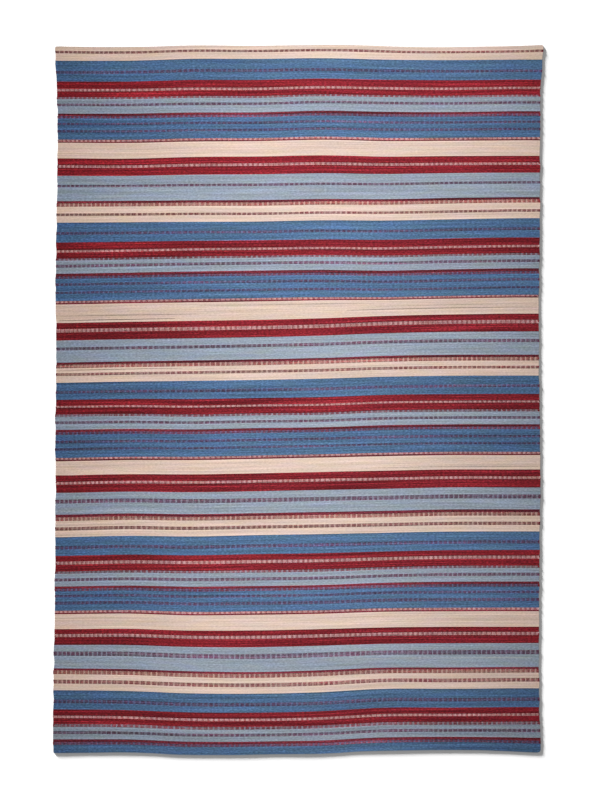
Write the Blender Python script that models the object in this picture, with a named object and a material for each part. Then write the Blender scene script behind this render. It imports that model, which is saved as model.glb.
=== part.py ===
"""Kilim: a flat-woven wool rug with cross stripes, spread flat.

The warps run along Y and the wefts run along X, from selvedge to selvedge. The underside lies
on Z = 0, and the middle of the rug's outline is over the origin. The rug has no fringe, binding
or lining, so it is a single sheet of cloth. Its selvedges bow in and out a little and its ends
sag and rise a little, as those of a hand-woven rug do.
"""

from math import radians

import bmesh
import bpy

# Driving sizes, in metres.
WIDTH = 2.033
LENGTH = 2.978
THICKNESS = 0.003
CORNER_RADIUS = 0.007
RIM_RADIUS = 0.0012

# How finely the sheet is divided, so that its edges can bow.
COLUMNS = 24
ROWS = 36
CORNER_SEGMENTS = 3
RIM_SEGMENTS = 2
SHARP_EDGE = radians(60)

MM = 0.001

# How far each selvedge bows out past its straight line, in mm, at each distance down from the
# top end.
SELVEDGE_BOWS = (
    # down, left, right
    (0, 3, 15),
    (65, 1, 10),
    (130, -2, 6),
    (235, -6, 1),
    (340, -9, 1),
    (550, -6, 0),
    (760, -4, 0),
    (970, 1, -3),
    (1075, 0, -6),
    (1180, -2, -5),
    (1390, -2, -3),
    (1600, 2, -1),
    (1810, 0, 2),
    (2020, 2, -1),
    (2230, 3, -2),
    (2440, 5, -4),
    (2650, 9, -4),
    (2860, 11, 0),
    (2978, 11, 4),
)
LEFT, RIGHT = 1, 2

# How far each end sags towards the bottom, in mm, at each distance across from the middle.
END_SAGS = (
    # across, top, bottom
    (-1016, 5, -4),
    (-870, 8, -5),
    (-745, 8, -7),
    (-620, 7, -5),
    (-495, 2, 3),
    (-370, 1, 4),
    (-240, 3, 4),
    (-115, 2, 1),
    (10, 0, 0),
    (135, -1, -2),
    (260, 1, -11),
    (390, 6, -14),
    (515, 9, -16),
    (640, 8, -17),
    (765, 6, -16),
    (890, 4, -11),
    (1016, -2, -5),
)
TOP, BOTTOM = 1, 2

# The wool, averaged over its cream, blue, red and grey-blue stripes.
WOOL_COLOR = (0.27, 0.20, 0.23, 1.0)
WOOL_ROUGHNESS = 0.92


def slope(table, column, row):
    """How fast a column of a table changes at one of its rows, from the rows on either side."""
    before = table[max(row - 1, 0)]
    after = table[min(row + 1, len(table) - 1)]
    return (after[column] - before[column]) / (after[0] - before[0])


def smooth_value(table, column, at):
    """A column of a table at any place along it, on a smooth curve through its rows."""
    at = min(max(at, table[0][0]), table[-1][0])
    row = max(i for i in range(len(table) - 1) if table[i][0] <= at)
    start, end = table[row], table[row + 1]
    span = end[0] - start[0]
    t = (at - start[0]) / span
    rise = start[column] + (end[column] - start[column]) * t * t * (3 - 2 * t)
    lean_in = slope(table, column, row) * span * t * (1 - t) ** 2
    lean_out = slope(table, column, row + 1) * span * t * t * (1 - t)
    return rise + lean_in - lean_out


def bowed_point(u, v):
    """A point of the outline or within it, for u from the left selvedge to the right one and
    v from the top end to the bottom one, both from 0 to 1."""
    across = (u - 0.5) * WIDTH
    down = v * LENGTH
    bow_left = smooth_value(SELVEDGE_BOWS, LEFT, down / MM) * MM
    bow_right = smooth_value(SELVEDGE_BOWS, RIGHT, down / MM) * MM
    sag_top = smooth_value(END_SAGS, TOP, across / MM) * MM
    sag_bottom = smooth_value(END_SAGS, BOTTOM, across / MM) * MM
    x = across - bow_left * (1 - u) + bow_right * u
    y = -down - sag_top * (1 - v) - sag_bottom * v
    return x, y


def bow_grid(sheet):
    """Move a unit grid's points to their places in the rug, with its box over the origin."""
    for vert in sheet.verts:
        vert.co.x, vert.co.y = bowed_point(vert.co.x + 0.5, 0.5 - vert.co.y)
    xs = [vert.co.x for vert in sheet.verts]
    ys = [vert.co.y for vert in sheet.verts]
    middle = ((min(xs) + max(xs)) / 2, (min(ys) + max(ys)) / 2, 0)
    bmesh.ops.translate(sheet, verts=sheet.verts, vec=[-part for part in middle])


def round_corners(sheet):
    """Round the rug's four corners, the points that only two edges of the grid reach."""
    corners = [vert for vert in sheet.verts if len(vert.link_edges) == 2]
    bmesh.ops.bevel(
        sheet,
        geom=corners,
        offset=CORNER_RADIUS,
        offset_type="OFFSET",
        segments=CORNER_SEGMENTS,
        profile=0.5,
        affect="VERTICES",
    )


def wool_material():
    """Matt wool in the stripes' mean colour."""
    material = bpy.data.materials.new("wool")
    material.use_nodes = True
    shader = material.node_tree.nodes["Principled BSDF"]
    shader.inputs["Base Color"].default_value = WOOL_COLOR
    shader.inputs["Roughness"].default_value = WOOL_ROUGHNESS
    shader.inputs["Metallic"].default_value = 0.0
    return material


def make_kilim():
    """The whole rug: a bowed grid given the cloth's thickness, with its rim rounded over."""
    sheet = bmesh.new()
    bmesh.ops.create_grid(sheet, x_segments=COLUMNS, y_segments=ROWS, size=0.5)
    bow_grid(sheet)
    round_corners(sheet)
    mesh = bpy.data.meshes.new("kilim")
    sheet.to_mesh(mesh)
    sheet.free()
    mesh.shade_smooth()
    mesh.materials.append(wool_material())

    kilim = bpy.data.objects.new("kilim", mesh)
    bpy.context.collection.objects.link(kilim)
    cloth = kilim.modifiers.new("cloth thickness", "SOLIDIFY")
    cloth.thickness = THICKNESS
    cloth.offset = 1.0
    rim = kilim.modifiers.new("rounded rim", "BEVEL")
    rim.width = RIM_RADIUS
    rim.segments = RIM_SEGMENTS
    rim.limit_method = "ANGLE"
    rim.angle_limit = SHARP_EDGE
    return kilim


def main():
    for leftover in list(bpy.data.objects):
        bpy.data.objects.remove(leftover, do_unlink=True)
    make_kilim()


main()
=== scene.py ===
# %% [markdown]
# A striped kilim, spread flat
#
# A kilim is a rug without pile. Its warps run from end to end and can't be seen, because the
# wefts that cross them are beaten down until they cover them. So every stripe here is some dozens
# of picks of one yarn, and every row of dashes is a few picks of two yarns that take turns.
#
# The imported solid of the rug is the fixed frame. It gives the outline and the thickness, and
# everything below is fitted to it by measuring it.

# %% Load the fixed frame
from math import atan2, ceil, cos, floor, hypot, pi, radians, sin

import bpy
import numpy as np
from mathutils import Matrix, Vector, noise


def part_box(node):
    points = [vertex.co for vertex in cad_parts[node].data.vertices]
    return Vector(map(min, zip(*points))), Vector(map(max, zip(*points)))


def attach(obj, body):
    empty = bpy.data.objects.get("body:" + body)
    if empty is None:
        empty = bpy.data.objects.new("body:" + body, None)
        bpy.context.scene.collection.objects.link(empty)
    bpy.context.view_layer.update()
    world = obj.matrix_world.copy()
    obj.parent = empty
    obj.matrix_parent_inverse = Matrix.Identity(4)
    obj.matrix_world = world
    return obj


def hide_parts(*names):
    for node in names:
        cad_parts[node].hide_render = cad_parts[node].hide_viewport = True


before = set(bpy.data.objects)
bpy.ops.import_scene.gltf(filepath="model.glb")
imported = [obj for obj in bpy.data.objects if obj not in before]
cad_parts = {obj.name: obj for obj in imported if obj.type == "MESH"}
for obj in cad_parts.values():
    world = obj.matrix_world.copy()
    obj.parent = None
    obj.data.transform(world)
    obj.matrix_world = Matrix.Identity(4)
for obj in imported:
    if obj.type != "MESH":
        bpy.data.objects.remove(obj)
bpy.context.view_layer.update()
kilim_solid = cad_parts["kilim"]
low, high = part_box("kilim")
THICKNESS = high.z - low.z
MM = 0.001
print("the solid is", [round(side / MM) for side in high - low], "mm")

# %% [markdown]
# Feel the edges of the solid
#
# The selvedges of a hand-woven rug bow in and out, and its ends sag. Those curves are already in
# the solid. A ray that is shot at it from outside stops at its edge, so a row of such rays reads
# each edge, and no size has to be written twice. The solid's selvedges are smooth. Real ones also
# wobble by a millimetre or so, because every weft turns at a slightly different place.

# %% Read the outline with rays
RAY_START = 3.0
RAY_HEIGHT = (low.z + high.z) / 2
CORNER_REACH = 16 * MM  # the corners are round, so the rays keep this far from them
MIDDLE_WARP = 8 * MM  # where the weft is level with its straight line all the way down
SELVEDGE_WOBBLE = 3.2 * MM  # how far the selvedges stray from the solid's smooth ones
WOBBLE_LENGTH = 40 * MM


def edge_along_x(side, y):
    """The place of the solid's edge at one height of the picture, from the side -1 or 1."""
    _, place, _, _ = kilim_solid.ray_cast((side * RAY_START, y, RAY_HEIGHT), (-side, 0, 0))
    return place.x


def edge_along_y(side, x):
    """The place of the solid's end across the rug, from the bottom, -1, or the top, 1."""
    _, place, _, _ = kilim_solid.ray_cast((x, side * RAY_START, RAY_HEIGHT), (0, -side, 0))
    return place.y


def wobble(side, y):
    """How far a selvedge strays along X at one height of the picture."""
    return SELVEDGE_WOBBLE * noise.noise(Vector((side * 9.1, y / WOBBLE_LENGTH, 0.3)))


top_middle = edge_along_y(1, MIDDLE_WARP)
bottom_middle = edge_along_y(-1, MIDDLE_WARP)
LENGTH = top_middle - bottom_middle
selvedge_ys = np.linspace(bottom_middle + CORNER_REACH, top_middle - CORNER_REACH, 300)
left_xs = np.array([edge_along_x(-1, y) + wobble(-1, y) for y in selvedge_ys])
right_xs = np.array([edge_along_x(1, y) + wobble(1, y) for y in selvedge_ys])
WIDTH = float((right_xs - left_xs).mean())
centre_x = float((right_xs + left_xs).mean() / 2)
end_xs = np.linspace(left_xs.max() + CORNER_REACH, right_xs.min() - CORNER_REACH, 100)
top_sags = top_middle - np.array([edge_along_y(1, x) for x in end_xs])
bottom_sags = bottom_middle - np.array([edge_along_y(-1, x) for x in end_xs])
print("the rug measures", round(WIDTH / MM), "by", round(LENGTH / MM), "mm")

# %% [markdown]
# The drift of the wefts
#
# Between the two ends each weft wanders too, because a weaver beats one side harder than the
# other, or weaves a short wedge. The table gives how far a weft sags below its straight line, in
# mm, at eight places across. A smooth curve through the table turns any place in the weave, given
# as a share u of the width and a length v down the middle warp, into a place on the floor.

# %% Chart the drift
DRIFT_ACROSS = (-983, -714, -445, -175, 94, 363, 632, 901)
DRIFT = (
    # down, and the sag at each place across
    (65, (11, 11, 3, 3, 0, 6, 8, 6)),
    (200, (10, 10, 5, 5, -2, 2, 4, 0)),
    (334, (10, 10, 5, 4, -2, 3, 3, 0)),
    (469, (13, 14, 7, 5, 0, 5, 3, 2)),
    (603, (8, 7, 4, 3, -1, 0, -5, -8)),
    (738, (8, 6, 4, 3, -2, -1, -6, -11)),
    (872, (15, 11, 6, 3, 0, 2, -4, -8)),
    (1050, (16, 11, 7, 3, -1, 0, -5, -10)),
    (1130, (16, 11, 7, 3, -3, -12, -18, -22)),
    (1275, (17, 12, 8, 3, -3, -12, -17, -18)),
    (1410, (14, 9, 6, 2, -3, -11, -15, -16)),
    (1544, (6, 3, 6, 1, -2, -12, -15, -16)),
    (1678, (13, 8, 8, 3, -2, -9, -13, -13)),
    (1947, (9, 4, 7, 3, -2, -7, -13, -13)),
    (2081, (11, 5, 8, 2, -2, -8, -13, -14)),
    (2216, (7, 2, 5, 2, -2, -11, -17, -18)),
    (2350, (0, -3, 4, 1, -3, -12, -14, -15)),
    (2485, (-4, -5, 3, 3, -3, -10, -13, -13)),
    (2619, (-11, -8, 1, 4, -3, -14, -15, -17)),
    (2754, (-11, -8, 2, 3, -3, -18, -18, -20)),
    (2888, (-9, -7, 2, 2, -3, -16, -18, -18)),
)
print("the drift is given for", len(DRIFT), "wefts")

# %% Turn a place in the weave into a place on the floor
def smooth_curve(stations, values, at):
    """Values along the first axis, read at places between their stations on a smooth curve.
    Each place reads its own column of values, or they all read the only one."""
    stations = np.asarray(stations, float)
    values = np.asarray(values, float)
    slopes = np.gradient(values, stations, axis=0)
    row = np.clip(np.searchsorted(stations, at) - 1, 0, len(stations) - 2)
    own = (row,) if values.ndim == 1 else (row, np.arange(len(at)))
    after = (row + 1,) if values.ndim == 1 else (row + 1, np.arange(len(at)))
    span = stations[row + 1] - stations[row]
    t = np.clip((at - stations[row]) / span, 0, 1)
    rise = values[own] + (values[after] - values[own]) * t * t * (3 - 2 * t)
    return rise + slopes[own] * span * t * (1 - t) ** 2 - slopes[after] * span * t * t * (1 - t)


def weft_sag(x, v):
    """How far the weft that starts at v sags at x, both arrays in metres."""
    sags = [np.interp(x, end_xs, top_sags)]
    sags += [smooth_curve(np.multiply(DRIFT_ACROSS, MM), np.multiply(row, MM), x) for _, row in DRIFT]
    sags += [np.interp(x, end_xs, bottom_sags)]
    downs = [0.0] + [down * MM for down, _ in DRIFT] + [LENGTH]
    return smooth_curve(downs, np.stack(sags), v)


def on_the_floor(u, v):
    """The place of weave places on the floor, as arrays of x and y."""
    u, v = np.broadcast_arrays(np.asarray(u, float), np.asarray(v, float))
    shape = u.shape
    u, v = u.ravel(), v.ravel()
    y = top_middle - v - weft_sag(centre_x + (u - 0.5) * WIDTH, v)
    left = np.interp(y, selvedge_ys, left_xs)
    right = np.interp(y, selvedge_ys, right_xs)
    return (left + (right - left) * u).reshape(shape), y.reshape(shape)


middle_of_rug = [round(float(place) / MM, 1) for place in on_the_floor(0.5, LENGTH / 2)]
print("the middle of the weave lies at", middle_of_rug, "mm")

# %% [markdown]
# The weaving chart
#
# A weaver works from a chart that is read pick by pick. This one lists the stripes of one repeat
# from the top down: the yarn of the ground, the yarn of the dashes if the stripe is a dashed row,
# and the height of the stripe in each of the five repeats. Nothing was counted exactly on the
# loom, so no two repeats are quite alike, and the last one is cut short by the end of the rug.

# %% Chart the stripes
TOP_STRIPES = (
    # ground, dashes, height
    ("cream", None, 17),
    ("cream", "wine", 10),
    ("cream", None, 28),
)
REPEAT = (
    # ground, dashes, heights in the five repeats
    ("blue", None, (42, 38, 37, 38, 39)),
    ("blue", "plum", (12, 11, 12, 14, 15)),
    ("blue", None, (33, 30, 28, 28, 26)),
    ("red", None, (32, 31, 28, 25, 26)),
    ("red", "rosy cream", (10, 9, 8, 13, 10)),
    ("red", None, (25, 25, 29, 30, 24)),
    ("sky", "red", (8, 8, 9, 10, 12)),
    ("sky", None, (19, 17, 19, 20, 17)),
    ("sky", "plum", (11, 12, 11, 13, 12)),
    ("sky", None, (31, 25, 22, 23, 21)),
    ("wine", None, (10, 12, 10, 10, 11)),
    ("blue", "red", (10, 10, 10, 11, 11)),
    ("blue", None, (19, 19, 23, 16, 32)),
    ("blue", "plum", (10, 11, 11, 11, 0)),
    ("blue", None, (20, 24, 20, 19, 0)),
    ("blue", "plum", (10, 10, 9, 13, 0)),
    ("blue", None, (29, 30, 31, 27, 0)),
    ("red", "rosy cream", (8, 8, 8, 9, 0)),
    ("wine", None, (5, 6, 6, 6, 0)),
    ("cream", None, (64, 77, 60, 64, 0)),
    ("red", None, (29, 26, 29, 22, 0)),
    ("red", "rosy cream", (11, 14, 11, 13, 0)),
    ("red", None, (36, 33, 36, 35, 0)),
    ("sky", None, (39, 29, 29, 29, 0)),
    ("sky", "plum", (11, 13, 17, 19, 0)),
    ("sky", None, (59, 51, 46, 55, 0)),
    ("wine", None, (10, 10, 12, 9, 0)),
    ("cream", "red", (14, 15, 15, 16, 0)),
    ("cream", None, (28, 21, 25, 23, 0)),
    ("cream", "wine", (11, 12, 14, 16, 0)),
    ("cream", None, (27, 29, 27, 28, 0)),
)
REPEATS = 5


def chart_stripes():
    """Every stripe of the rug, as its top and bottom in metres, its two yarns and its repeat."""
    listed = [(ground, dashes, height, 0) for ground, dashes, height in TOP_STRIPES]
    for repeat in range(REPEATS):
        listed += [(ground, dashes, heights[repeat], repeat) for ground, dashes, heights in REPEAT]
    stripes = []
    top = 0.0
    for ground, dashes, height, repeat in listed:
        if height:
            stripes.append([top, top + height * MM, ground, dashes, repeat])
            top += height * MM
    stripes[-1][1] = LENGTH
    return stripes


stripes = chart_stripes()
stripe_tops = np.array([stripe[0] for stripe in stripes])
print(len(stripes), "stripes, of which", sum(bool(stripe[3]) for stripe in stripes), "are dashed rows")

# %% [markdown]
# The columns of the dashes
#
# The dashes of all the rows stand in columns, because a dash always covers the same group of
# warps. The warps are not evenly spaced, so the columns are a little closer at the left edge and
# on the right. Counting the groups from the left gives each place across a dash number, and its
# fraction says where in the dash's turn that place lies.

# %% Number the dashes across the rug
DASH_PITCHES = (
    # across from the middle, pitch
    (-1016, 18),
    (-830, 18.5),
    (-740, 24),
    (-420, 24),
    (-300, 21.5),
    (0, 22),
    (300, 22.5),
    (560, 20.5),
    (1016, 20.5),
)
DASH_SHARE = 0.58  # of each turn, that the dash covers
COUNTING_STEPS = 2000
counted_u = np.linspace(0, 1, COUNTING_STEPS + 1)
counted_pitch = np.interp((counted_u - 0.5) * WIDTH / MM, *zip(*DASH_PITCHES)) * MM
counted_dashes = np.concatenate(([0], np.cumsum(WIDTH / COUNTING_STEPS / counted_pitch[1:])))
DASHES = floor(counted_dashes[-1])
print(DASHES, "dashes to a row")


def dash_number(u):
    """How many dashes lie to the left of a place across the rug."""
    return np.interp(u, counted_u, counted_dashes)


def place_of_dash(number):
    """The place across the rug of a dash number."""
    return np.interp(number, counted_dashes, counted_u)


# %% [markdown]
# Yarns
#
# Six wools make the whole rug. Each colour is the wool's own colour, without the light of the
# room. The cream that is woven in among the red has taken up a little of its dye, so it is listed
# apart. Every dye lot comes out a little different, which the trade calls abrash, so each repeat
# has its own strength of each colour.

# %% Dye the yarns
YARNS = {
    "cream": (0.738, 0.568, 0.479),
    "blue": (0.088, 0.171, 0.308),
    "red": (0.264, 0.016, 0.026),
    "sky": (0.313, 0.365, 0.438),
    "wine": (0.145, 0.019, 0.031),
    "plum": (0.125, 0.030, 0.075),
    "rosy cream": (0.745, 0.500, 0.490),
}
DYE_LOTS = {
    # strength in the five repeats
    "cream": (1.00, 0.94, 0.95, 1.00, 1.04),
    "blue": (0.98, 0.96, 0.89, 0.98, 0.90),
    "red": (0.98, 0.80, 0.77, 0.82, 0.82),
    "sky": (0.98, 0.95, 0.94, 0.98, 0.89),
    "wine": (1.05, 1.00, 0.98, 1.32, 1.10),
    "plum": (1.00, 0.96, 0.92, 1.00, 0.95),
    "rosy cream": (1.05, 0.96, 0.96, 1.04, 1.04),
}
STRIPE_CHANCE = 0.03  # how far one stripe's strength may stray from its dye lot


def dyed(yarn, repeat, seed):
    """The colour of a yarn in one repeat, with a small stray for the stripe it is used in."""
    stray = 1 + STRIPE_CHANCE * noise.noise(Vector((seed * 7.31, repeat * 3.7, 0.5)))
    return np.array(YARNS[yarn]) * DYE_LOTS[yarn][repeat] * stray


print(len(YARNS), "yarns, each dyed in", REPEATS, "lots")

# %% [markdown]
# The cloth
#
# The rug is one sheet. A grid is the natural start, because its lines can be the weft lines of
# the chart: each stripe then ends exactly on an edge of the mesh, and its colour can be stored on
# the faces. The grid is added as a primitive and its points are moved to their weave places.
#
# The face of the rug isn't quite flat. It cockles by a fraction of a millimetre, and the outer
# warps are doubled, so each selvedge is a low round cord.

# %% Choose the grid's lines
EDGE_LINES = (0, 2, 4.5, 8, 14, 25)  # mm from each edge, close together where the edge is round
COLUMN_STEP = 36 * MM
ROW_STEP = 16 * MM


def divided(lines, step):
    """The same lines, with more between them wherever two are further apart than step."""
    full = [lines[0]]
    for start, end in zip(lines, lines[1:]):
        parts = ceil((end - start) / step - 1e-6)
        full += [start + (end - start) * (part + 1) / parts for part in range(parts)]
    return np.array(full)


def rows_from_chart():
    """The weft lines of the mesh: every edge of a stripe, and the lines near the two ends."""
    lines = {round(top, 5) for top in stripe_tops} | {round(LENGTH, 5)}
    for line in EDGE_LINES:
        lines |= {line * MM, round(LENGTH - line * MM, 5)}
    return divided(sorted(lines), ROW_STEP)


def columns_from_edges():
    """The warp lines of the mesh, as shares of the width."""
    lines = [line * MM for line in EDGE_LINES] + [WIDTH - line * MM for line in reversed(EDGE_LINES)]
    return divided(lines, COLUMN_STEP) / WIDTH


row_vs = rows_from_chart()
column_us = columns_from_edges()
print(len(column_us), "warp lines and", len(row_vs), "weft lines")

# %% Shape the face and the corners
CORNER_RADII = {
    # left or right, top or bottom
    ("left", "top"): 8 * MM,
    ("right", "top"): 5 * MM,
    ("left", "bottom"): 4 * MM,
    ("right", "bottom"): 14 * MM,
}
COCKLE = 0.35 * MM  # how far the face rises and falls
COCKLE_LENGTH = 0.16
SELVEDGE_CORD = 0.35 * MM
SELVEDGE_CORD_WIDTH = 6 * MM


def face_height(x, y, from_selvedge):
    """The height of the rug's face above the floor."""
    cockle = COCKLE * noise.noise(Vector((x / COCKLE_LENGTH, y / COCKLE_LENGTH, 0.0)))
    turn = from_selvedge / SELVEDGE_CORD_WIDTH
    cord = SELVEDGE_CORD * cos(turn * pi) if turn < 1.5 else 0.0
    return THICKNESS + cockle + cord


def round_corner(from_side, from_end, radius):
    """How far a point of a square corner moves in along X and Y to make it a round one."""
    inward = (radius - from_side, radius - from_end)
    if min(inward) <= 0:
        return 0.0, 0.0
    pull = 1 - max(inward) / hypot(*inward)
    return inward[0] * pull, inward[1] * pull


print("the cord at a selvedge stands", round(face_height(0, 0, 0) / MM, 2), "mm high")

# %% Add the grid
def deselect_all():
    """Leave no object selected, so that the next operator acts on the new piece alone."""
    bpy.ops.object.select_all(action="DESELECT")


def select_alone(piece):
    """Make a piece the only one that is selected, and the active one."""
    deselect_all()
    piece.select_set(True)
    bpy.context.view_layer.objects.active = piece


def flat_grid():
    """A grid primitive with a point for each pair of a warp line and a weft line."""
    deselect_all()
    bpy.ops.mesh.primitive_grid_add(
        x_subdivisions=len(column_us) - 1, y_subdivisions=len(row_vs) - 1, size=1, calc_uvs=False
    )
    cloth = bpy.context.active_object
    cloth.name = "kilim_cloth"
    cloth.data.name = "kilim_cloth"
    return cloth


cloth = flat_grid()
print("the grid holds", len(cloth.data.polygons), "faces")

# %% Move the grid's points to their weave places
WEFT_JITTER = 0.5 * MM  # how far a weft line strays from one warp line to the next
WEFT_JITTER_LENGTH = 70 * MM


def corner_points(piece):
    """The index of the point at each corner of a piece's faces."""
    indices = np.zeros(len(piece.data.loops), np.int32)
    piece.data.loops.foreach_get("vertex_index", indices)
    return indices


def store_uv(piece, name, values):
    """Store a place for each corner of a piece's faces in a new UV map."""
    layer = piece.data.uv_layers.new(name=name)
    layer.data.foreach_set("uv", np.asarray(values, np.float32).ravel())


def lay_out_weave(cloth):
    """Move the grid's points to their weave places, and store those in the UV map weave."""
    across, down = len(column_us) - 1, len(row_vs) - 1
    columns = [round((vertex.co.x + 0.5) * across) for vertex in cloth.data.vertices]
    rows = [round((0.5 - vertex.co.y) * down) for vertex in cloth.data.vertices]
    u, v = column_us[columns], row_vs[rows]
    stray = np.array([
        noise.noise(Vector((share * WIDTH / WEFT_JITTER_LENGTH, row * 5.3, 1.7)))
        for share, row in zip(u, rows)
    ])
    inner = (v > 0) & (v < row_vs[-1])
    x, y = on_the_floor(u, v + WEFT_JITTER * stray * inner)
    for vertex, share, length, vx, vy in zip(cloth.data.vertices, u, v, x, y):
        from_side = min(share, 1 - share) * WIDTH
        from_end = min(length, LENGTH - length)
        side = "left" if share < 0.5 else "right"
        end = "top" if length < LENGTH / 2 else "bottom"
        in_x, in_y = round_corner(from_side, from_end, CORNER_RADII[side, end])
        vertex.co = (
            vx + (in_x if side == "left" else -in_x),
            vy + (-in_y if end == "top" else in_y),
            face_height(vx, vy, from_side),
        )
    store_uv(cloth, "weave", np.stack([u * WIDTH, v], axis=1)[corner_points(cloth)])


lay_out_weave(cloth)
highest = max(vertex.co.z for vertex in cloth.data.vertices)
print("the face rises to", round(highest / MM, 2), "mm above the floor")

# %% [markdown]
# Thickness and edges
#
# Solidify gives the sheet its thickness. Its underside is then pressed flat, since the rug lies
# on a floor, and the two sharp rims are bevelled round, as the turned yarn at its edges is.

# %% Give the sheet its thickness
RIM_RADIUS = 1.2 * MM
RIM_SEGMENTS = 3
SHARP_EDGE = radians(60)


def thicken(cloth):
    """Make the sheet a closed one, with a flat underside."""
    depth = cloth.modifiers.new("depth", "SOLIDIFY")
    depth.thickness = THICKNESS
    depth.offset = -1.0
    select_alone(cloth)
    bpy.ops.object.modifier_apply(modifier=depth.name)
    for vertex in cloth.data.vertices:
        if vertex.co.z < THICKNESS / 2:
            vertex.co.z = 0.0


def round_rims(cloth):
    """Bevel the sharp edges round the face and the underside."""
    select_alone(cloth)
    bpy.ops.object.mode_set(mode="EDIT")
    bpy.ops.mesh.select_mode(type="EDGE")
    bpy.ops.mesh.select_all(action="DESELECT")
    bpy.ops.mesh.edges_select_sharp(sharpness=SHARP_EDGE)
    bpy.ops.mesh.bevel(offset=RIM_RADIUS, segments=RIM_SEGMENTS)
    bpy.ops.object.mode_set(mode="OBJECT")
    cloth.data.shade_smooth()


thicken(cloth)
round_rims(cloth)
print("the closed cloth holds", len(cloth.data.polygons), "faces")

# %% [markdown]
# What the faces know of the weave
#
# The material has to know which yarns are at a place, where the next dash starts, and how far the
# next stripe is. The mesh carries all of that. Colour attributes hold the yarns of the stripe and the
# painted shade and highlight at its edges and on its dashes, and UV maps hold the places, counted in
# the units that each pattern needs. No picture is painted on, and the underside gets the same facts
# as the face, because a kilim is the same on both.
#
# In a dashed row two yarns are woven pick and pick. Each of them then shows as a comb of fine
# teeth, and the dashes are where the teeth of one of them are wide. So a pair of shares says how
# much of a dash, and of the gap between two dashes, the yarn of the dashes covers. A third number
# is painted light on the whole of a dash: below zero a painted shade makes it darker than the gap,
# and above zero a painted highlight makes it lighter.

# %% Gather the facts of each stripe
DASH_SHARES_AND_PAINTED_LIGHT = {
    # ground, dashes: share in a dash, share in a gap, painted light on the whole dash
    ("cream", "wine"): (0.78, 0.54, -0.065),
    ("blue", "plum"): (0.59, 0.38, -0.18),
    ("sky", "plum"): (0.745, 0.505, -0.145),
    ("red", "rosy cream"): (0.49, 0.24, 0.08),
    ("sky", "red"): (0.70, 0.405, -0.135),
    ("blue", "red"): (0.60, 0.42, -0.16),
    ("cream", "red"): (0.74, 0.52, -0.065),
}
# Painted shade and painted highlight where two stripes meet: the first is the painted shade, the
# second the painted highlight.
EDGE_PAINTED_SHADE = 0.28  # how much deeper a yarn looks beside a much lighter one
EDGE_PAINTED_HIGHLIGHT = 0.13  # how much lighter it looks beside a much darker one
EDGE_CONTRAST = 0.3  # the difference in lightness at which that is full


def lightness(stripe):
    """How light a stripe looks as a whole, from 0 to 1."""
    _, _, ground, dashes, _ = stripe
    colour = np.array(YARNS[ground])
    if dashes:
        share = sum(DASH_SHARES_AND_PAINTED_LIGHT[ground, dashes][:2]) / 2
        colour = colour * (1 - share) + np.array(YARNS[dashes]) * share
    return float(colour.mean() ** 0.45)


def edge_painted_light(stripe, neighbour):
    """The painted light at a stripe's edge with a neighbour: painted shade below zero, highlight
    above.
    """
    if stripe[3] or stripe[2] == "wine":
        return 0.0
    contrast = (lightness(stripe) - lightness(neighbour)) / EDGE_CONTRAST
    contrast = min(max(contrast, -1.0), 1.0)
    return contrast * (EDGE_PAINTED_HIGHLIGHT if contrast > 0 else EDGE_PAINTED_SHADE)


def stripe_facts(index):
    """The colour attributes of one stripe, by name."""
    _, _, ground, dashes, repeat = stripes[index]
    above = stripes[max(index - 1, 0)]
    below = stripes[min(index + 1, len(stripes) - 1)]
    shares = DASH_SHARES_AND_PAINTED_LIGHT.get((ground, dashes), (0.0, 0.0, 0.0))
    return {
        "ground": (*dyed(ground, repeat, index), 1.0),
        "dash": (*dyed(dashes or ground, repeat, index + 0.5), 1.0),
        "dash_shares_and_painted_light": (*shares, 1.0),
        # painted shade and painted highlight at the stripe's upper and lower edge
        "edge_painted_lights": (edge_painted_light(stripes[index], above), edge_painted_light(stripes[index], below), 0.0, 1.0),
    }


facts = [stripe_facts(index) for index in range(len(stripes))]
print("facts gathered on", len(facts), "stripes")

# %% Read and store values at the corners of faces
def read_uv(piece, name):
    """A UV map as an array with a row for each corner."""
    flat = np.zeros(len(piece.data.loops) * 2, np.float32)
    piece.data.uv_layers[name].data.foreach_get("uv", flat)
    return flat.reshape(-1, 2)


def store_colour(piece, name, values):
    """Store a colour for each corner of a piece's faces in a new attribute."""
    layer = piece.data.color_attributes.new(name, "FLOAT_COLOR", "CORNER")
    layer.data.foreach_set("color", np.asarray(values, np.float32).ravel())


def face_sizes(piece):
    """How many corners each face of a piece has."""
    sizes = np.zeros(len(piece.data.polygons), np.int32)
    piece.data.polygons.foreach_get("loop_total", sizes)
    return sizes


def corner_averages(piece, values):
    """For each corner, the average of a value over the corners of its face."""
    sizes = face_sizes(piece)
    starts = np.concatenate(([0], np.cumsum(sizes)[:-1]))
    return np.repeat(np.add.reduceat(values, starts) / sizes, sizes)


print("the weave's places run to", read_uv(cloth, "weave").max(axis=0).round(3), "m")

# %% Store the facts on a piece's faces
def stripe_at(v):
    """The index of the stripe that holds a weave length."""
    return np.clip(np.searchsorted(stripe_tops, v, side="right") - 1, 0, len(stripes) - 1)


def store_facts(piece, indices, numbers, tones):
    """Give each corner the facts of its stripe, with its dash number and the tone of its yarn."""
    places = read_uv(piece, "weave")
    tops = stripe_tops[indices]
    bottoms = np.append(stripe_tops[1:], LENGTH)[indices]
    for name in facts[0]:
        values = np.array([fact[name] for fact in facts])[indices]
        if name in ("ground", "dash"):
            values[:, :3] *= tones[:, None]
        store_colour(piece, name, values)
    down_stripe = (places[:, 1] - tops) / (bottoms - tops)
    store_uv(piece, "dash_count", np.stack([numbers, down_stripe], axis=1))
    store_uv(piece, "stripe_edges", np.stack([places[:, 1] - tops, bottoms - places[:, 1]], axis=1))


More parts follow.
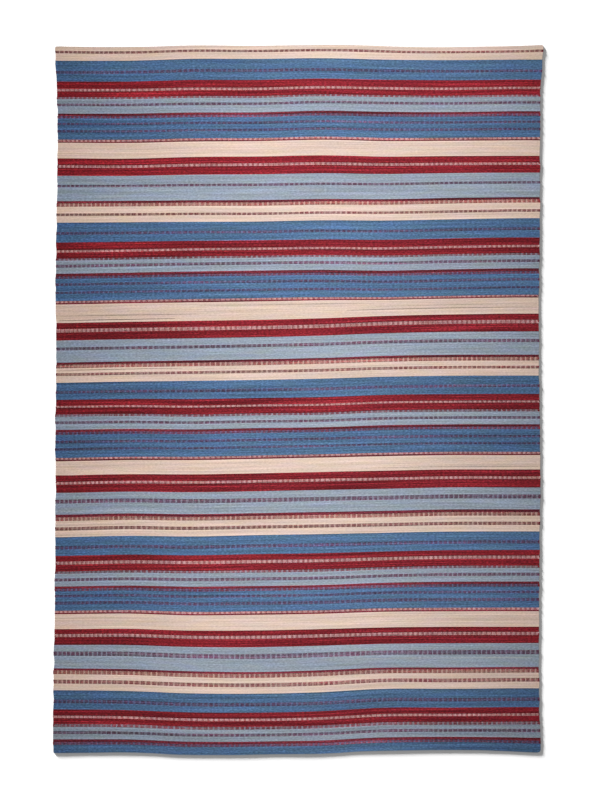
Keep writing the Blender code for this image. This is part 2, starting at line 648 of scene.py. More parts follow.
def store_cloth_facts(cloth):
    """Find the stripe of each face of the cloth, and store its facts."""
    places = read_uv(cloth, "weave")
    indices = stripe_at(corner_averages(cloth, places[:, 1]))
    store_facts(cloth, indices, dash_number(places[:, 0] / WIDTH), np.ones(len(places)))


store_cloth_facts(cloth)
print("facts stored on", len(cloth.data.loops), "corners")

# %% [markdown]
# The raised dashes
#
# Where the teeth are wide the yarn of a dash lies a little proud of the ground, as a short flat
# float. One float is modelled as a block with its upper edges bevelled. It is then copied to every
# dash of every dashed row, following the drift of the wefts, and the copies are one mesh.

# %% Model one float
FLOAT_BEVEL = 0.2


def unit_block():
    """A block of unit size that stands on the floor."""
    deselect_all()
    bpy.ops.mesh.primitive_cube_add(size=1, location=(0, 0, 0.5), calc_uvs=False)
    block = bpy.context.active_object
    bpy.ops.object.transform_apply(location=True, rotation=False, scale=False)
    return block


def edit_edges(block, suits):
    """Enter edit mode with those edges selected whose two ends suit."""
    select_alone(block)
    bpy.ops.object.mode_set(mode="EDIT")
    bpy.ops.mesh.select_mode(type="EDGE")
    bpy.ops.mesh.select_all(action="DESELECT")
    bpy.ops.object.mode_set(mode="OBJECT")
    for edge in block.data.edges:
        edge.select = suits(*(block.data.vertices[end].co for end in edge.vertices))
    bpy.ops.object.mode_set(mode="EDIT")


def model_float():
    """One float in unit size, with its base on the ground and its upper edges bevelled."""
    block = unit_block()
    edit_edges(block, lambda start, end: min(start.z, end.z) > 0.9)
    bpy.ops.mesh.bevel(offset=FLOAT_BEVEL, segments=1)
    bpy.ops.object.mode_set(mode="OBJECT")
    return block


def take_shape(block):
    """The points and faces of a block, which is then removed."""
    points = np.array([vertex.co for vertex in block.data.vertices])
    faces = [list(face.vertices) for face in block.data.polygons]
    bpy.data.objects.remove(block, do_unlink=True)
    return points, faces


float_points, float_faces = take_shape(model_float())
print("one float has", len(float_points), "points and", len(float_faces), "faces")

# %% Find the places of the floats
FLOAT_SLANT = 0.16  # how far its upper end leans along the weft, as a share of its turn
FLOAT_STRAY = 0.12  # how far its place may stray, as a share of its turn
FLOAT_STRETCH = 0.3  # how far its length may stray, as a share of it
FLOAT_TONE = 0.12  # how far the tone of its yarn may stray
STRAY_SHIFTS = (0.0, 31.7, 67.1)  # so far apart that one stray says nothing of the next


def strays(*place):
    """Three numbers between -1 and 1 that are the same for a place in every run."""
    return [noise.noise(Vector((place[0] + shift, *place[1:]))) for shift in STRAY_SHIFTS]


def row_of_floats(index):
    """The floats of one dashed row: their weave places, and the tone of each one's yarn."""
    top, bottom = stripes[index][:2]
    numbers = np.arange(DASHES) + 0.5
    stray = np.array([strays(number * 1.37, index * 2.11, 4.2) for number in numbers])
    turn = place_of_dash(numbers + 0.5) - place_of_dash(numbers - 0.5)
    middle = place_of_dash(numbers) + turn * FLOAT_STRAY * stray[:, 0]
    length = turn * DASH_SHARE * (1 + FLOAT_STRETCH * stray[:, 1])
    u = middle[:, None] + length[:, None] * float_points[:, 0]
    u = u + FLOAT_SLANT * turn[:, None] * float_points[:, 1]
    v = (top + bottom) / 2 - (bottom - top) * float_points[:, 1] + 0 * u
    return u, v, 1 + FLOAT_TONE * stray[:, 2]


dashed_rows = [index for index, stripe in enumerate(stripes) if stripe[3]]
print(len(dashed_rows), "rows with", DASHES, "floats each")

# %% Copy the float along the dashed rows
FLOAT_RISE = 0.35 * MM  # above the ground
FLOAT_SINK = 0.3 * MM  # below it, so that no gap shows under a float
LOWEST = 0.15 * MM  # no copy of a block reaches further down than this above the floor
height_of_face = np.vectorize(face_height)


def joined_copies(name, us, vs, rises, faces):
    """One mesh of many copies of a block laid on the cloth, each row of us being one copy."""
    x, y = on_the_floor(us, vs)
    z = height_of_face(x, y, np.minimum(us, 1 - us) * WIDTH) + rises
    points = np.stack([x, y, np.maximum(z, LOWEST)], axis=-1).reshape(-1, 3)
    starts = np.arange(len(us)) * us.shape[1]
    mesh = bpy.data.meshes.new(name)
    copied_faces = [[start + point for point in face] for start in starts for face in faces]
    mesh.from_pydata(points, [], copied_faces)
    piece = bpy.data.objects.new(name, mesh)
    bpy.context.collection.objects.link(piece)
    corners = corner_points(piece)
    store_uv(piece, "weave", np.stack([us.ravel() * WIDTH, vs.ravel()], axis=1)[corners])
    mesh.shade_smooth()
    return piece, corners // us.shape[1]


def lay_floats():
    """All the floats of the rug as one mesh."""
    rows = [row_of_floats(index) for index in dashed_rows]
    us = np.concatenate([row[0] for row in rows])
    vs = np.concatenate([row[1] for row in rows])
    tones = np.concatenate([row[2] for row in rows])
    rises = (FLOAT_RISE + FLOAT_SINK) * float_points[:, 2] - FLOAT_SINK
    floats, copies = joined_copies("dash_floats", us, vs, rises, float_faces)
    numbers = np.tile(np.arange(DASHES) + 0.5, len(rows))
    store_facts(floats, np.repeat(dashed_rows, DASHES)[copies], numbers[copies], tones[copies])
    return floats


floats = lay_floats()
print(len(floats.data.polygons), "faces in the floats")

# %% [markdown]
# The turns at the selvedges
#
# At each end of a dashed row the yarn of the dashes goes round the outer warp and comes back. It
# shows there as a few small tight loops that stand out from the selvedge. One loop is a block with
# all its edges bevelled, deep enough to reach round the rim. Where the dashes are the lighter
# yarn, about half of the loops show the yarn of the ground.

# %% Model one loop
TURN_BEVEL = 0.22


def model_turn():
    """One loop in unit size, with its base on the ground and all its edges bevelled."""
    block = unit_block()
    edit_edges(block, lambda start, end: True)
    bpy.ops.mesh.bevel(offset=TURN_BEVEL, segments=2)
    bpy.ops.object.mode_set(mode="OBJECT")
    return block


turn_points, turn_faces = take_shape(model_turn())
print("one loop has", len(turn_points), "points and", len(turn_faces), "faces")

# %% Lay the turns
TURNS = 3  # loops at each end of a dashed row
TURN_LENGTH = 4.5 * MM  # from the selvedge inward
TURN_OUT = 1.0 * MM  # from the selvedge outward
TURN_STRAY = 1.2  # how far both may stray, as a share
TURN_RISE = 0.3 * MM  # above the face


def place_turn(index, side, turn):
    """One loop at the left or right end of a row, side 0 or 1: its weave places and its colour."""
    top, bottom, ground, dashes, repeat = stripes[index]
    out_stray, inward_stray, yarn_stray = strays(index * 2.3, side * 5.1, turn * 3.7 + 0.4)
    out = TURN_OUT * (1 + TURN_STRAY * out_stray)
    inward = TURN_LENGTH * (1 + TURN_STRAY * inward_stray)
    from_edge = (turn_points[:, 0] + 0.5) * (inward + out) - out
    height = (bottom - top) / TURNS
    middle = top + height * (turn + 0.5)
    yarn = ground if dashes == "rosy cream" and yarn_stray > 0 else dashes
    colour = (*dyed(yarn, repeat, index + 0.5), 1.0)
    if side:
        return 1 - from_edge / WIDTH, middle + height * turn_points[:, 1], colour
    return from_edge / WIDTH, middle - height * turn_points[:, 1], colour


def recolour(piece, colours):
    """Give each corner of a piece one colour, in place of the two yarns of its stripe."""
    for name in ("ground", "dash"):
        flat = np.asarray(colours, np.float32).ravel()
        piece.data.color_attributes[name].data.foreach_set("color", flat)


def lay_turns():
    """All the loops of the rug as one mesh."""
    ends = [(index, side, turn) for index in dashed_rows for side in (0, 1) for turn in range(TURNS)]
    us, vs, colours = zip(*(place_turn(*end) for end in ends))
    rises = TURN_RISE - (TURN_RISE + THICKNESS) * (1 - turn_points[:, 2])
    turns, copies = joined_copies("selvedge_turns", np.array(us), np.array(vs), rises, turn_faces)
    indices = np.array([end[0] for end in ends])[copies]
    store_facts(turns, indices, np.zeros(len(copies)), np.ones(len(copies)))
    recolour(turns, np.array(colours)[copies])
    return turns


turns = lay_turns()
print(len(turns.data.polygons), "faces in the turns")

# %% [markdown]
# Stray picks
#
# Here and there the weaver carried on with the end of another ball of yarn, so one pick is darker
# or lighter than those about it, and stops in the middle of the rug. Each of these is one thin
# thread, modelled as a long block that is cut across many times so that it can follow the wefts.

# %% Lay the stray picks
STRAY_PICKS = (
    # down and across in mm, the yarn's colour
    (1088, -410, 270, (0.46, 0.37, 0.30)),
    (1106, 330, 1005, (0.52, 0.42, 0.33)),
    (1121, 205, 1005, (0.25, 0.20, 0.16)),
    (1123, -1005, -420, (0.46, 0.36, 0.29)),
    (1141, -1005, -517, (0.17, 0.13, 0.10)),
    (1183, -786, -706, (0.50, 0.40, 0.28)),
    (1350, -1005, -488, (0.40, 0.31, 0.25)),
    (1783, 260, 1005, (0.46, 0.37, 0.30)),
    (2589, 176, 1005, (0.50, 0.52, 0.55)),
)
PICK_WIDTH = 3.2 * MM
PICK_RISE = 0.12 * MM
PICK_CUTS = 40


def model_pick():
    """One pick in unit size, cut across many times along its length."""
    block = unit_block()
    edit_edges(block, lambda start, end: abs(start.x - end.x) > 0.5)
    bpy.ops.mesh.subdivide(number_cuts=PICK_CUTS)
    bpy.ops.object.mode_set(mode="OBJECT")
    return block


def lay_picks():
    """The stray picks as one mesh."""
    points, faces = take_shape(model_pick())
    downs, starts, ends, colours = zip(*STRAY_PICKS)
    starts = (np.array(starts) * MM - centre_x) / WIDTH + 0.5
    ends = (np.array(ends) * MM - centre_x) / WIDTH + 0.5
    us = starts[:, None] + (ends - starts)[:, None] * (points[:, 0] + 0.5)
    taper = np.minimum(1, 1.02 - 2 * abs(points[:, 0])) ** 0.3
    vs = np.array(downs)[:, None] * MM - PICK_WIDTH * points[:, 1] * taper
    rises = (PICK_RISE + FLOAT_SINK) * points[:, 2] - FLOAT_SINK
    picks, copies = joined_copies("stray_picks", us, vs, rises, faces)
    indices = stripe_at(corner_averages(picks, read_uv(picks, "weave")[:, 1]))
    store_facts(picks, indices, np.zeros(len(copies)), np.ones(len(copies)))
    recolour(picks, np.array([(*colour, 1.0) for colour in colours])[copies])
    return picks


picks = lay_picks()
print(len(STRAY_PICKS), "stray picks")

# %% [markdown]
# Flat layouts for the bake
#
# A part that leaves Blender takes its colours along as pictures, one for each piece, so each piece
# needs a flat layout, a UV map called OFBake. These pieces are almost flat as they are, and a plan
# of them serves. The sides would have no width in a plan, so they are spread outward by their
# depth. The faces that look down get a narrower plan of their own beside the first.

# %% Lay the pieces out flat
UPPER_PLAN = (0.002, 0.778)  # where the plan of the upper faces starts and how wide it is
LOWER_PLAN = (0.790, 0.208)
PLAN_MARGIN = 0.002
SIDE_SPREAD = 2.0


def lay_out_flat(piece):
    """Add a plan of the piece as the UV map OFBake."""
    vertices = piece.data.vertices
    places = np.array([vertex.co for vertex in vertices])
    outward = np.array([vertex.normal for vertex in vertices])[:, :2]
    depth = places[:, 2].max() - places[:, 2]
    spread = places[:, :2] + SIDE_SPREAD * outward * depth[:, None]
    corners = corner_points(piece)
    looks_down = np.repeat([face.normal.z < -0.5 for face in piece.data.polygons], face_sizes(piece))
    plan = np.where(looks_down[:, None], places[corners, :2], spread[corners])
    share = (plan - plan.min(axis=0)) / np.ptp(plan, axis=0)
    start = np.where(looks_down, LOWER_PLAN[0], UPPER_PLAN[0])
    width = np.where(looks_down, LOWER_PLAN[1], UPPER_PLAN[1])
    across = start + width * share[:, 0]
    up = PLAN_MARGIN + (1 - 2 * PLAN_MARGIN) * share[:, 1]
    store_uv(piece, "OFBake", np.stack([across, up], axis=1))


pieces = (cloth, floats, turns, picks)
for piece in pieces:
    lay_out_flat(piece)
    print(piece.name, "has the maps", [layer.name for layer in piece.data.uv_layers])

# %% [markdown]
# Node groups for the wool
#
# Five effects make flat colour look like woven wool, and four of them also paint shade and
# highlights into the colour. They are shader node groups, so that each is built once, has named
# inputs and outputs, and could be used in any other wool.

# %% Make a group and set its sockets
def new_group(name, inputs, outputs):
    """An empty shader group with the named sockets: its tree, its inputs and its output node."""
    tree = bpy.data.node_groups.new(name, "ShaderNodeTree")
    for socket, kind in inputs:
        tree.interface.new_socket(socket, in_out="INPUT", socket_type="NodeSocket" + kind)
    for socket, kind in outputs:
        tree.interface.new_socket(socket, in_out="OUTPUT", socket_type="NodeSocket" + kind)
    return tree, tree.nodes.new("NodeGroupInput").outputs, tree.nodes.new("NodeGroupOutput").inputs


def put(tree, socket, value):
    """Link a value to a socket if it is another socket, or set it as the socket's own value."""
    if isinstance(value, bpy.types.NodeSocket):
        tree.links.new(value, socket)
    else:
        socket.default_value = value


# %% Add the nodes that the groups are made of
def calculate(tree, operation, *values):
    """The result of a Math node."""
    node = tree.nodes.new("ShaderNodeMath")
    node.operation = operation
    for socket, value in zip(node.inputs, values):
        put(tree, socket, value)
    return node.outputs["Value"]


def calculate_vector(tree, operation, *vectors):
    """The result of a Vector Math node."""
    node = tree.nodes.new("ShaderNodeVectorMath")
    node.operation = operation
    for socket, vector in zip(node.inputs, vectors):
        put(tree, socket, vector)
    return node.outputs["Vector"]


def centred(tree, value):
    """A value that lies between 0 and 1, moved down to lie about 0."""
    return calculate(tree, "SUBTRACT", value, 0.5)


def limit(tree, value):
    """A value kept between 0 and 1."""
    node = tree.nodes.new("ShaderNodeClamp")
    put(tree, node.inputs["Value"], value)
    return node.outputs["Result"]


def mix_colours(tree, factor, first, second):
    """Two colours mixed by a Mix node, whose sockets for colours have names of their own."""
    node = tree.nodes.new("ShaderNodeMix")
    node.data_type = "RGBA"
    sockets = {socket.identifier: socket for socket in node.inputs}
    put(tree, sockets["Factor_Float"], factor)
    put(tree, sockets["A_Color"], first)
    put(tree, sockets["B_Color"], second)
    return next(socket for socket in node.outputs if socket.identifier == "Result_Color")


def scale_colour(tree, colour, tone):
    """A colour made lighter or darker."""
    node = tree.nodes.new("ShaderNodeVectorMath")
    node.operation = "SCALE"
    put(tree, node.inputs[0], colour)
    put(tree, node.inputs["Scale"], tone)
    return node.outputs["Vector"]


def parts(tree, vector):
    """The three parts of a vector."""
    node = tree.nodes.new("ShaderNodeSeparateXYZ")
    put(tree, node.inputs["Vector"], vector)
    return node.outputs["X"], node.outputs["Y"], node.outputs["Z"]


def noise_along(tree, place, across, down, detail=2.0):
    """A noise texture with lumps of the given size across and down, in metres: its two outputs."""
    mapping = tree.nodes.new("ShaderNodeMapping")
    mapping.inputs["Scale"].default_value = (1 / across, 1 / down, 1.0)
    put(tree, mapping.inputs["Vector"], place)
    texture = tree.nodes.new("ShaderNodeTexNoise")
    texture.inputs["Scale"].default_value = 1.0
    texture.inputs["Detail"].default_value = detail
    put(tree, texture.inputs["Vector"], mapping.outputs["Vector"])
    return texture.outputs["Fac"], texture.outputs["Color"]


# %% [markdown]
# The first group lays the dashes over the ground. It finds the share of the dash's yarn at a
# place, which is higher within a dash than in a gap. Then it compares that share with a row of
# teeth, two warps to a tooth, so that a higher share makes wider teeth. The whole dash also gets
# painted light: a painted shade makes it darker, and where the third number is above zero a
# painted highlight makes it lighter.

# %% Group: dashes over the ground
DASH_SHARPNESS = 8.0  # how quickly the share rises where a dash starts
TOOTH_SHARPNESS = 5.0  # how quickly a tooth ends
PATCH_LUMPS = (0.10, 0.02)  # of stronger and fainter dashes, across and down in metres
PATCH_REACH = 4.0
RAGGED_LUMPS = (0.004, 0.0015)  # in the edges of the teeth
RAGGED_REACH = 0.5
LEAST_SHARE = 0.01  # below it a stripe has no dashes


def build_dash_group():
    """Dash Count holds the dash number across and the share of the stripe's height down."""
    tree, given, result = new_group(
        "dashes over ground and painted light",
        [
            ("Ground", "Color"),
            ("Dash", "Color"),
            ("Shares", "Vector"),
            ("Dash Count", "Vector"),
            ("Weave", "Vector"),
            ("Dash Length", "Float"),
            ("Slant", "Float"),
            ("Tooth Pitch", "Float"),
            ("Unevenness", "Float"),
        ],
        [("Color", "Color")],
    )
    number, down_stripe, _ = parts(tree, given["Dash Count"])
    across, _, _ = parts(tree, given["Weave"])
    in_dash, in_gap, dash_painted_light = parts(tree, given["Shares"])

    lean = calculate(tree, "MULTIPLY", centred(tree, down_stripe), given["Slant"])
    turn = calculate(tree, "FRACT", calculate(tree, "ADD", number, lean))
    from_middle = calculate(tree, "ABSOLUTE", centred(tree, turn))
    half = calculate(tree, "MULTIPLY", given["Dash Length"], 0.5)
    inside = calculate(tree, "SUBTRACT", half, from_middle)
    inside = limit(tree, calculate(tree, "MULTIPLY_ADD", inside, DASH_SHARPNESS, 0.5))

    patchy, _ = noise_along(tree, given["Weave"], *PATCH_LUMPS)
    patchy = calculate(tree, "MULTIPLY", centred(tree, patchy), PATCH_REACH)
    strength = calculate(tree, "MULTIPLY_ADD", patchy, given["Unevenness"], 1.0)
    rise = calculate(tree, "MULTIPLY", calculate(tree, "SUBTRACT", in_dash, in_gap), strength)
    share = calculate(tree, "MULTIPLY_ADD", rise, inside, in_gap)

    ragged, _ = noise_along(tree, given["Weave"], *RAGGED_LUMPS)
    ragged = calculate(tree, "MULTIPLY", centred(tree, ragged), RAGGED_REACH)
    tooth = calculate(tree, "FRACT", calculate(tree, "DIVIDE", across, given["Tooth Pitch"]))
    tooth = calculate(tree, "ABSOLUTE", centred(tree, tooth))
    tooth = calculate(tree, "MULTIPLY_ADD", tooth, 2.0, ragged)
    cover = calculate(tree, "SUBTRACT", share, tooth)
    cover = limit(tree, calculate(tree, "MULTIPLY_ADD", cover, TOOTH_SHARPNESS, 0.5))
    dashed = calculate(tree, "GREATER_THAN", in_dash, LEAST_SHARE)
    cover = calculate(tree, "MULTIPLY", cover, dashed)
    mixed = mix_colours(tree, cover, given["Ground"], given["Dash"])
    # painted shade on the whole dash below zero, painted highlight above zero
    tone = calculate(tree, "MULTIPLY_ADD", centred(tree, inside), dash_painted_light, 1.0)
    put(tree, result["Color"], scale_colour(tree, mixed, tone))
    return tree


dash_group = build_dash_group()
print("group", dash_group.name, "has", len(dash_group.nodes), "nodes")

# %% [markdown]
# The second group is the wool's own unevenness. Handspun yarn takes the dye unevenly along its
# length, which shows as long thin streaks along the wefts. Over them lie a soft mottle, a small
# change of hue and clumps of a few stitches, and every single stitch is a little lighter or darker
# than the next. All of it shows more on a dark yarn than on a light one.

# %% Group: uneven wool
SHORT_GROWTH = (-13.6, 13.1)  # how much more the short lumps show on a darker yarn
LONG_GROWTH = (0.5, 1.9)  # and the long ones
HUE_GROWTH = (-1.2, 1.75)  # and the change of hue
HUE_LUMPS = (0.10, 0.02)  # across and down, in metres
HUE_REACH = (3.2, 1.5, 6.0)  # how far red, green and blue stray beside each other


def build_uneven_group():
    """Each amount says how far the colour may stray, as a share of its strength."""
    tree, given, result = new_group(
        "uneven wool",
        [
            ("Color", "Color"),
            ("Weave", "Vector"),
            ("Drift", "Float"),
            ("Streaks", "Float"),
            ("Mottle", "Float"),
            ("Clumps", "Float"),
            ("Stitches", "Float"),
            ("Hue", "Float"),
        ],
        [("Color", "Color"), ("Tone", "Float")],
    )
    grey = tree.nodes.new("ShaderNodeRGBToBW")
    put(tree, grey.inputs["Color"], given["Color"])
    lightness = calculate(tree, "POWER", grey.outputs["Val"], 0.3)
    short_growth = calculate(tree, "MULTIPLY_ADD", lightness, *SHORT_GROWTH)
    long_growth = calculate(tree, "DIVIDE", LONG_GROWTH[0], grey.outputs["Val"])
    long_growth = calculate(tree, "ADD", long_growth, LONG_GROWTH[1])
    layers = (
        # lumps across and down, detail, amount, how it grows on a darker yarn
        (0.80, 0.014, 2.0, "Drift", long_growth),
        (0.50, 0.0045, 2.0, "Streaks", long_growth),
        (0.035, 0.012, 2.0, "Mottle", short_growth),
        (0.0104, 0.0045, 1.0, "Clumps", short_growth),
        (0.0050, 0.0013, 1.0, "Stitches", short_growth),
    )
    stray = 0.0
    for across, down, detail, amount, growth in layers:
        value, _ = noise_along(tree, given["Weave"], across, down, detail)
        reach = calculate(tree, "MULTIPLY", given[amount], growth)
        stray = calculate(tree, "MULTIPLY_ADD", centred(tree, value), reach, stray)
    tone = calculate(tree, "POWER", 2.0, stray)

    _, hue = noise_along(tree, given["Weave"], *HUE_LUMPS)
    hue = calculate_vector(tree, "SUBTRACT", hue, (0.5, 0.5, 0.5))
    hue_growth = calculate(tree, "MULTIPLY_ADD", lightness, *HUE_GROWTH)
    hue = scale_colour(tree, hue, calculate(tree, "MULTIPLY", hue_growth, given["Hue"]))
    hue = calculate_vector(tree, "MULTIPLY_ADD", hue, HUE_REACH, (1.0, 1.0, 1.0))
    tinted = calculate_vector(tree, "MULTIPLY", given["Color"], hue)
    put(tree, result["Color"], scale_colour(tree, tinted, tone))
    put(tree, result["Tone"], tone)
    return tree


uneven_group = build_uneven_group()
print("group", uneven_group.name, "has", len(uneven_group.nodes), "nodes")

# %% [markdown]
# The third group paints light at the edges of the stripes. Where a dark yarn meets a light one,
# its last picks get a painted shade, and the first picks of the light yarn a painted highlight.

# %% Group: painted shade and highlight at the stripe edges
def build_painted_edge_light_group():
    """Edges holds the way to the stripe's upper and lower edge, and the other the painted light at
    each.
    """
    tree, given, result = new_group(
        "painted light at stripe edges",
        [("Color", "Color"), ("Edges", "Vector"), ("Tones", "Vector"), ("Reach", "Float")],
        [("Color", "Color")],
    )
    tone = 1.0
    upper_way, lower_way, _ = parts(tree, given["Edges"])
    upper_painted_light, lower_painted_light, _ = parts(tree, given["Tones"])
    for way, change in ((upper_way, upper_painted_light), (lower_way, lower_painted_light)):
        nearness = calculate(tree, "SUBTRACT", 1.0, calculate(tree, "DIVIDE", way, given["Reach"]))
        nearness = calculate(tree, "SMOOTH_MAX", nearness, 0.0, 0.1)
        # painted shade and painted highlight near each edge of the stripe
        tone = calculate(tree, "MULTIPLY_ADD", change, limit(tree, nearness), tone)
    put(tree, result["Color"], scale_colour(tree, given["Color"], tone))
    return tree


painted_edge_light_group = build_painted_edge_light_group()
print("group", painted_edge_light_group.name, "has", len(painted_edge_light_group.nodes), "nodes")

# %% [markdown]
# The fourth group paints shade towards the two selvedges, where the light falls off: it makes the
# dark yarns deeper there. Raising a colour to a power does that: it hardly changes a light colour
# and changes a dark one a lot.

# %% Group: painted shade toward the selvedges
def build_selvedge_shade_group():
    """Painted shade. Left and Right are what is added to the power a metre from the lightest line.
    That line leans by Tilt in X for each metre of Y, and the shade grows by Slope for each."""
    tree, given, result = new_group(
        "painted shade toward the selvedges",
        [
            ("Color", "Color"),
            ("Place", "Vector"),
            ("Middle", "Float"),
            ("Tilt", "Float"),
            ("Left", "Float"),
            ("Right", "Float"),
            ("Slope", "Float"),
        ],
        [("Color", "Color")],
    )
    x, y, _ = parts(tree, given["Place"])
    growth = calculate(tree, "MULTIPLY_ADD", y, given["Slope"], 1.0)
    line = calculate(tree, "MULTIPLY_ADD", y, given["Tilt"], given["Middle"])
    offset = calculate(tree, "SUBTRACT", x, line)
    power = 1.0
    for sign, amount in ((-1.0, "Left"), (1.0, "Right")):
        side = calculate(tree, "MAXIMUM", calculate(tree, "MULTIPLY", offset, sign), 0.0)
        squared = calculate(tree, "MULTIPLY", calculate(tree, "POWER", side, 2.0), growth)
        power = calculate(tree, "MULTIPLY_ADD", squared, given[amount], power)
    gamma = tree.nodes.new("ShaderNodeGamma")
    put(tree, gamma.inputs["Color"], given["Color"])
    put(tree, gamma.inputs["Gamma"], power)
    put(tree, result["Color"], gamma.outputs["Color"])
    return tree


selvedge_shade_group = build_selvedge_shade_group()
print("group", selvedge_shade_group.name, "has", len(selvedge_shade_group.nodes), "nodes")

# %% [markdown]
# The fifth group is the weave itself, as a height for a Bump node. In a weft-faced cloth each warp
# makes a fine rib, and the picks pass over every second rib in turn, so the stitches stand like
# bricks. Two sines multiplied give just that pattern. Less light reaches the hollows between the
# stitches, so the group also darkens the colour there, and lightens it as much on the stitches.

# %% Group: weft-faced weave
WANDER_LUMPS = (0.025, 0.025)
WANDER = 0.004  # how far the picks stray from straight lines
MEAN_HEIGHT = 1 / pi + 0.25  # of the pattern below


def build_weave_group():
    """Rib Pitch is the spacing of the warps and Pick Pitch that of the wefts, in metres."""
    tree, given, result = new_group(
        "weft-faced weave",
        [
            ("Color", "Color"),
            ("Weave", "Vector"),
            ("Rib Pitch", "Float"),
            ("Pick Pitch", "Float"),
            ("Hollows", "Float"),
        ],
        [("Color", "Color"), ("Height", "Float")],
    )
    across, down, _ = parts(tree, given["Weave"])
    wander, _ = noise_along(tree, given["Weave"], *WANDER_LUMPS)
    down = calculate(tree, "MULTIPLY_ADD", wander, WANDER, down)
    rib = calculate(tree, "DIVIDE", across, given["Rib Pitch"])
    rib = calculate(tree, "SINE", calculate(tree, "MULTIPLY", rib, pi))
    pick = calculate(tree, "DIVIDE", down, given["Pick Pitch"])
    pick = calculate(tree, "SINE", calculate(tree, "MULTIPLY", pick, pi))
    bricks = calculate(tree, "MULTIPLY_ADD", calculate(tree, "MULTIPLY", rib, pick), 0.25, 0.25)
    ribs = calculate(tree, "MULTIPLY", calculate(tree, "ABSOLUTE", rib), 0.5)
    height = calculate(tree, "ADD", ribs, bricks)
    shade = calculate(tree, "SUBTRACT", height, MEAN_HEIGHT)
    shade = calculate(tree, "MULTIPLY_ADD", shade, given["Hollows"], 1.0)
    put(tree, result["Color"], scale_colour(tree, given["Color"], shade))
    put(tree, result["Height"], height)
    return tree


weave_group = build_weave_group()
print("group", weave_group.name, "has", len(weave_group.nodes), "nodes")

# %% [markdown]
# The wool
#
# One material serves the cloth, its floats, its turns and its stray picks, because all are the
# same wool. The Principled shader stays in the material, and its constant values are set on its
# own sockets.

# %% Set the values of the groups
RIB_PITCH = 2.7 * MM
PICK_PITCH = 1.3 * MM
GROUP_VALUES = {
    "dashes over ground and painted light": {
        "Dash Length": DASH_SHARE,
        "Slant": -FLOAT_SLANT,
        "Tooth Pitch": 2 * RIB_PITCH,
        "Unevenness": 0.6,
    },
    "uneven wool": {
        "Drift": 0.20, "Streaks": 0.40, "Mottle": 0.05, "Clumps": 0.44,
        "Stitches": 0.16, "Hue": 0.08,
    },
    # painted shade and painted highlight where stripes meet
    "painted light at stripe edges": {"Reach": 7 * MM},
    # painted shade toward the selvedges
    "painted shade toward the selvedges": {
        "Middle": 0.2, "Tilt": 0.04, "Left": 0.11, "Right": 0.13, "Slope": 0.1,
    },
    "weft-faced weave": {"Rib Pitch": RIB_PITCH, "Pick Pitch": PICK_PITCH, "Hollows": 0.4},
}
print("values set for", len(GROUP_VALUES), "groups")

# %% Build the wool material
WEAVE_DEPTH = 0.25 * MM
WEAVE_STRENGTH = 0.6
ROUGHNESS = (-0.15, 1.05)  # how it changes with the tone of the wool, and what it starts from


def use_group(tree, group, **links):
    """A node that uses a group, with its own values and with other sockets linked to it."""
    node = tree.nodes.new("ShaderNodeGroup")
    node.node_tree = group
    for name, value in GROUP_VALUES[group.name].items():
        node.inputs[name].default_value = value
    for name, socket in links.items():
        tree.links.new(socket, node.inputs[name.replace("_", " ")])
    return node.outputs


def stored_colour(tree, name):
    """A colour attribute of the mesh."""
    node = tree.nodes.new("ShaderNodeAttribute")
    node.attribute_name = name
    return node.outputs["Color"]


def stored_place(tree, name):
    """A UV map of the mesh."""
    node = tree.nodes.new("ShaderNodeUVMap")
    node.uv_map = name
    return node.outputs["UV"]


def build_wool():
    """Matt wool in the yarns that the piece's faces hold."""
    material = bpy.data.materials.new("wool")
    material.use_nodes = True
    tree = material.node_tree
    shader = tree.nodes["Principled BSDF"]
    weave = stored_place(tree, "weave")
    # the dashes, with a painted shade or painted highlight on each whole dash
    dashed = use_group(
        tree,
        dash_group,
        Ground=stored_colour(tree, "ground"),
        Dash=stored_colour(tree, "dash"),
        Shares=stored_colour(tree, "dash_shares_and_painted_light"),
        Dash_Count=stored_place(tree, "dash_count"),
        Weave=weave,
    )
    # painted shade and painted highlight at the stripes' edges
    with_painted_edge_light = use_group(
        tree,
        painted_edge_light_group,
        Color=dashed["Color"],
        Edges=stored_place(tree, "stripe_edges"),
        Tones=stored_colour(tree, "edge_painted_lights"),
    )
    uneven = use_group(tree, uneven_group, Color=with_painted_edge_light["Color"], Weave=weave)
    place = tree.nodes.new("ShaderNodeTexCoord").outputs["Object"]
    # painted shade toward the selvedges
    shaded_toward_selvedges = use_group(tree, selvedge_shade_group, Color=uneven["Color"], Place=place)
    woven = use_group(tree, weave_group, Color=shaded_toward_selvedges["Color"], Weave=weave)
    put(tree, shader.inputs["Base Color"], woven["Color"])

    bump = tree.nodes.new("ShaderNodeBump")
    bump.inputs["Strength"].default_value = WEAVE_STRENGTH
    bump.inputs["Distance"].default_value = WEAVE_DEPTH
    put(tree, bump.inputs["Height"], woven["Height"])
    put(tree, shader.inputs["Normal"], bump.outputs["Normal"])

    put(tree, shader.inputs["Roughness"], calculate(tree, "MULTIPLY_ADD", uneven["Tone"], *ROUGHNESS))
    shader.inputs["Specular IOR Level"].default_value = 0.2
    shader.inputs["Sheen Weight"].default_value = 0.1
    shader.inputs["Sheen Roughness"].default_value = 0.5
    return material


wool = build_wool()
print("the wool has", len(wool.node_tree.nodes), "nodes")

# %% Put the wool on the pieces
for piece in pieces:
    piece.data.materials.append(wool)
    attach(piece, "root")
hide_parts("kilim")
print("the wool is on", [piece.name for piece in pieces])

# %% [markdown]
# Floor, light and camera
#
# The floor is plain and pale. The rug throws a narrow soft shadow at its right and lower edges
# only, so the light that makes it is low and comes from the upper left. Such a low light would
# rake over the wool and show every stitch, so it shines on the floor alone, and the rug has a
# broad soft lamp of its own. Blender calls this light linking. The walls round the floor give an
# even dim light, and look as pale as the floor from low down.

